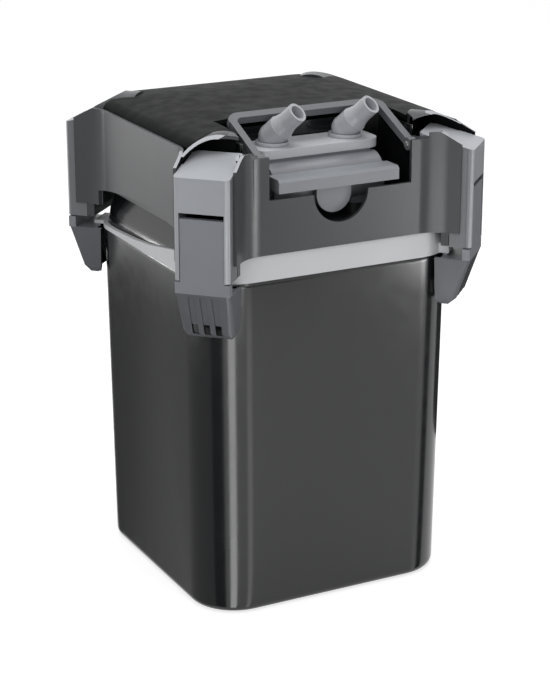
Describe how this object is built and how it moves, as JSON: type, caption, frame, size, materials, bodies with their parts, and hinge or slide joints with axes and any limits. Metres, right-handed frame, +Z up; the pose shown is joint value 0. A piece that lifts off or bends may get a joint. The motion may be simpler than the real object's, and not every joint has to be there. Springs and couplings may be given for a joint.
{
  "type": "canister filter",
  "caption": "Square aquarium canister filter with a pump head held by corner clamps, a tap block with swivelling hose tails, and a folding carry handle",
  "frame": {"origin": "centre of the underside, on the ground", "axes": "+Z up along the height, which is the longest extent; the tap and the hose tails are at the front, on -Y; +X is right seen from the front"},
  "size_m": [0.2696, 0.2696, 0.4009],
  "materials": {
    "shell_plastic": "satin moulded, dark grey",
    "pad_rubber": "matte",
    "collar_plastic": "pale grey, satin",
    "seal_rubber": "smooth",
    "inner_plastic": "glossy, near black",
    "frame_plastic": "satin moulded, grey",
    "lid_plastic": "fine matte, black",
    "cap_plastic": "satin, light grey",
    "clamp_plastic": "satin, mid grey",
    "steel": "bright, stainless",
    "tap_plastic": "glossy, dark grey",
    "valve_plastic": "satin, light grey",
    "lever_plastic": "satin, mid grey",
    "tail_plastic": "satin, light grey",
    "handle_plastic": "satin, mid grey",
    "pipe_plastic": "matte, near black",
    "magnet": "sintered ferrite in a plastic coat, smooth",
    "shaft_rod": "ground and polished",
    "gland_rubber": "matte",
    "basket_plastic": "matte, dark grey",
    "media_foam": "open-celled foam and fleece"
  },
  "bodies": {
    "canister": {"canister_shell": "shell_plastic", "rubber_pads": "pad_rubber", "collar": "collar_plastic", "rim_seal": "seal_rubber", "head_base": "inner_plastic", "head_frame": "frame_plastic", "lid": "lid_plastic", "tap_well": "inner_plastic", "cap_front_left": "cap_plastic", "cap_front_right": "cap_plastic", "cap_back_right": "cap_plastic", "cap_back_left": "cap_plastic", "clamp_pins": "steel", "tap_housing": "tap_plastic", "tap_plate": "valve_plastic", "tail_rings": "tail_plastic", "handle_pins": "steel", "riser_pipes": "pipe_plastic", "motor_pot": "pipe_plastic", "impeller_shaft": "shaft_rod", "shaft_bushes": "seal_rubber", "volute_cover": "pipe_plastic", "volute_screws": "steel", "frame_screws": "steel", "cable_gland": "gland_rubber", "down_pipe": "pipe_plastic", "basket_lower": "basket_plastic", "basket_middle": "basket_plastic", "basket_upper": "basket_plastic", "sponge_lower": "media_foam", "sponge_middle": "media_foam", "fleece_upper": "media_foam"},
    "clamp_front_left": {"clamp_front_left": "clamp_plastic"},
    "clamp_front_right": {"clamp_front_right": "clamp_plastic"},
    "clamp_back_right": {"clamp_back_right": "clamp_plastic"},
    "clamp_back_left": {"clamp_back_left": "clamp_plastic"},
    "tap": {"tap_barrel": "valve_plastic", "barrel_seals": "seal_rubber", "tap_lever": "lever_plastic"},
    "tail_left": {"tail_left": "tail_plastic", "tail_seal_left": "seal_rubber"},
    "tail_right": {"tail_right": "tail_plastic", "tail_seal_right": "seal_rubber"},
    "carry_handle": {"carry_handle": "handle_plastic"},
    "impeller": {"rotor": "magnet", "impeller": "valve_plastic"}
  },
  "joints": [
    {"name": "clamp_front_left_open", "type": "hinge", "parent": "canister", "child": "clamp_front_left", "pos_m": [-0.11455, -0.11455, 0.3255], "axis": [-0.7071, 0.7071, 0], "range_deg": [0, 70]},
    {"name": "clamp_front_right_open", "type": "hinge", "parent": "canister", "child": "clamp_front_right", "pos_m": [0.11455, -0.11455, 0.3255], "axis": [-0.7071, -0.7071, 0], "range_deg": [0, 70]},
    {"name": "clamp_back_right_open", "type": "hinge", "parent": "canister", "child": "clamp_back_right", "pos_m": [0.11455, 0.11455, 0.3255], "axis": [0.7071, -0.7071, 0], "range_deg": [0, 70]},
    {"name": "clamp_back_left_open", "type": "hinge", "parent": "canister", "child": "clamp_back_left", "pos_m": [-0.11455, 0.11455, 0.3255], "axis": [0.7071, 0.7071, 0], "range_deg": [0, 70]},
    {"name": "tap_turn", "type": "hinge", "parent": "canister", "child": "tap", "pos_m": [0, -0.08, 0.34], "axis": [-1, 0, 0], "range_deg": [0, 46]},
    {"name": "tail_left_turn", "type": "hinge", "parent": "canister", "child": "tail_left", "pos_m": [-0.032, -0.0625, 0.37], "axis": [0, 0, 1], "range_deg": [-56, 20]},
    {"name": "tail_right_turn", "type": "hinge", "parent": "canister", "child": "tail_right", "pos_m": [0.032, -0.0625, 0.37], "axis": [0, 0, 1], "range_deg": [-56, 20]},
    {"name": "handle_lift", "type": "hinge", "parent": "canister", "child": "carry_handle", "pos_m": [0, -0.107, 0.3665], "axis": [1, 0, 0], "range_deg": [0, 66]},
    {"name": "impeller_spin", "type": "hinge", "parent": "canister", "child": "impeller", "pos_m": [0, 0.025, 0.3], "axis": [0, 0, 1], "continuous": true}
  ]
}
